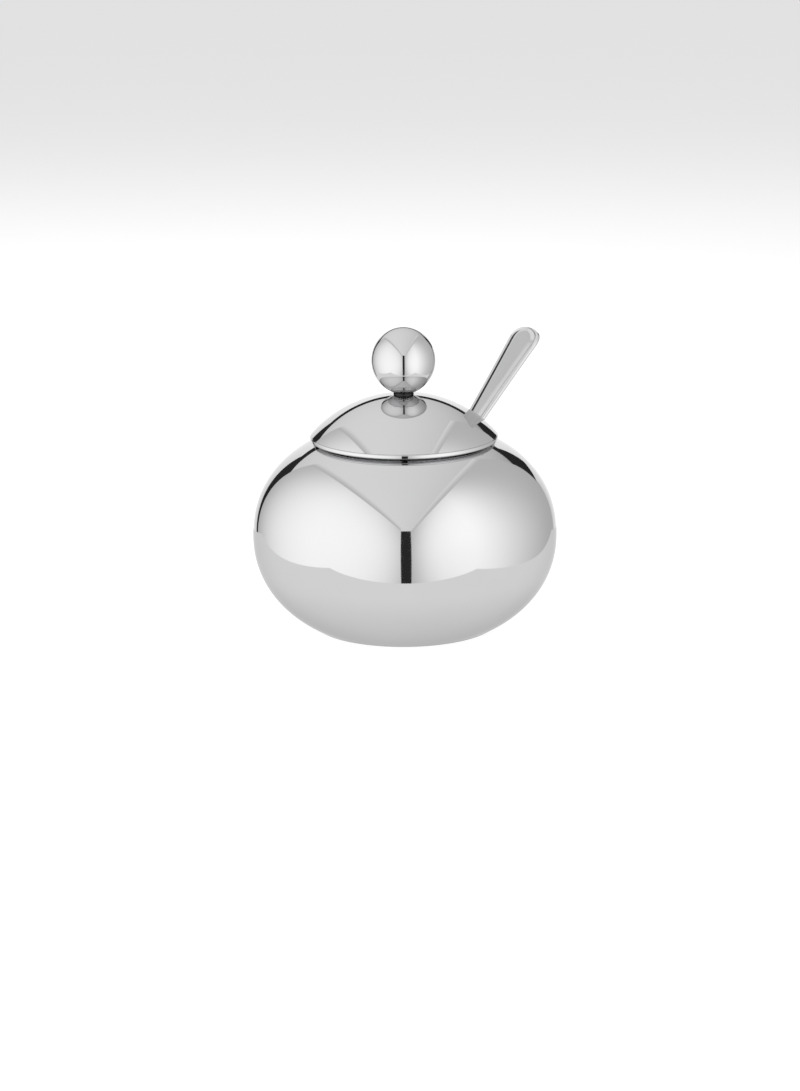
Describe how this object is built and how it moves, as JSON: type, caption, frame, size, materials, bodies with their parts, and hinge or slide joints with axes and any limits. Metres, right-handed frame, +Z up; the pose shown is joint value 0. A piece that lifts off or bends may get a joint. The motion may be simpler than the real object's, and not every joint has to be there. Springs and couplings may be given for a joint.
{
  "type": "sugar bowl",
  "caption": "Round polished steel sugar bowl with a domed lift-off lid, a ball knob and a spoon leaning out through a notch in the lid.",
  "frame": {"origin": "centre of the flat base that the bowl stands on", "axes": "+Z up the bowl's own axis through the knob; the spoon's handle leans out between +X and +Y"},
  "size_m": [0.105, 0.105, 0.104],
  "materials": {
    "bowl_steel": "mirror-polished stainless steel",
    "lid_steel": "mirror-polished stainless steel",
    "knob_steel": "mirror-polished stainless steel",
    "ring_steel": "plain drawn steel",
    "fixing_steel": "zinc-bright steel fixings",
    "spoon_steel": "polished stainless steel"
  },
  "bodies": {
    "bowl": {"bowl_shell": "bowl_steel"},
    "lid": {"lid_dome": "lid_steel", "lid_locating_ring": "ring_steel", "knob_ball": "knob_steel", "knob_neck_ring": "ring_steel", "knob_screw": "fixing_steel", "knob_flat_washer": "fixing_steel", "knob_lock_washer": "fixing_steel"},
    "spoon": {"spoon": "spoon_steel"}
  },
  "joints": [
    {"name": "lid_lift", "type": "slide", "parent": "bowl", "child": "lid", "axis": [0, 0, 1], "range_m": [0, 0.09]},
    {"name": "spoon_slide", "type": "slide", "parent": "bowl", "child": "spoon", "axis": [0.5332, 0.3141, 0.7855], "range_m": [0, 0.042]}
  ]
}
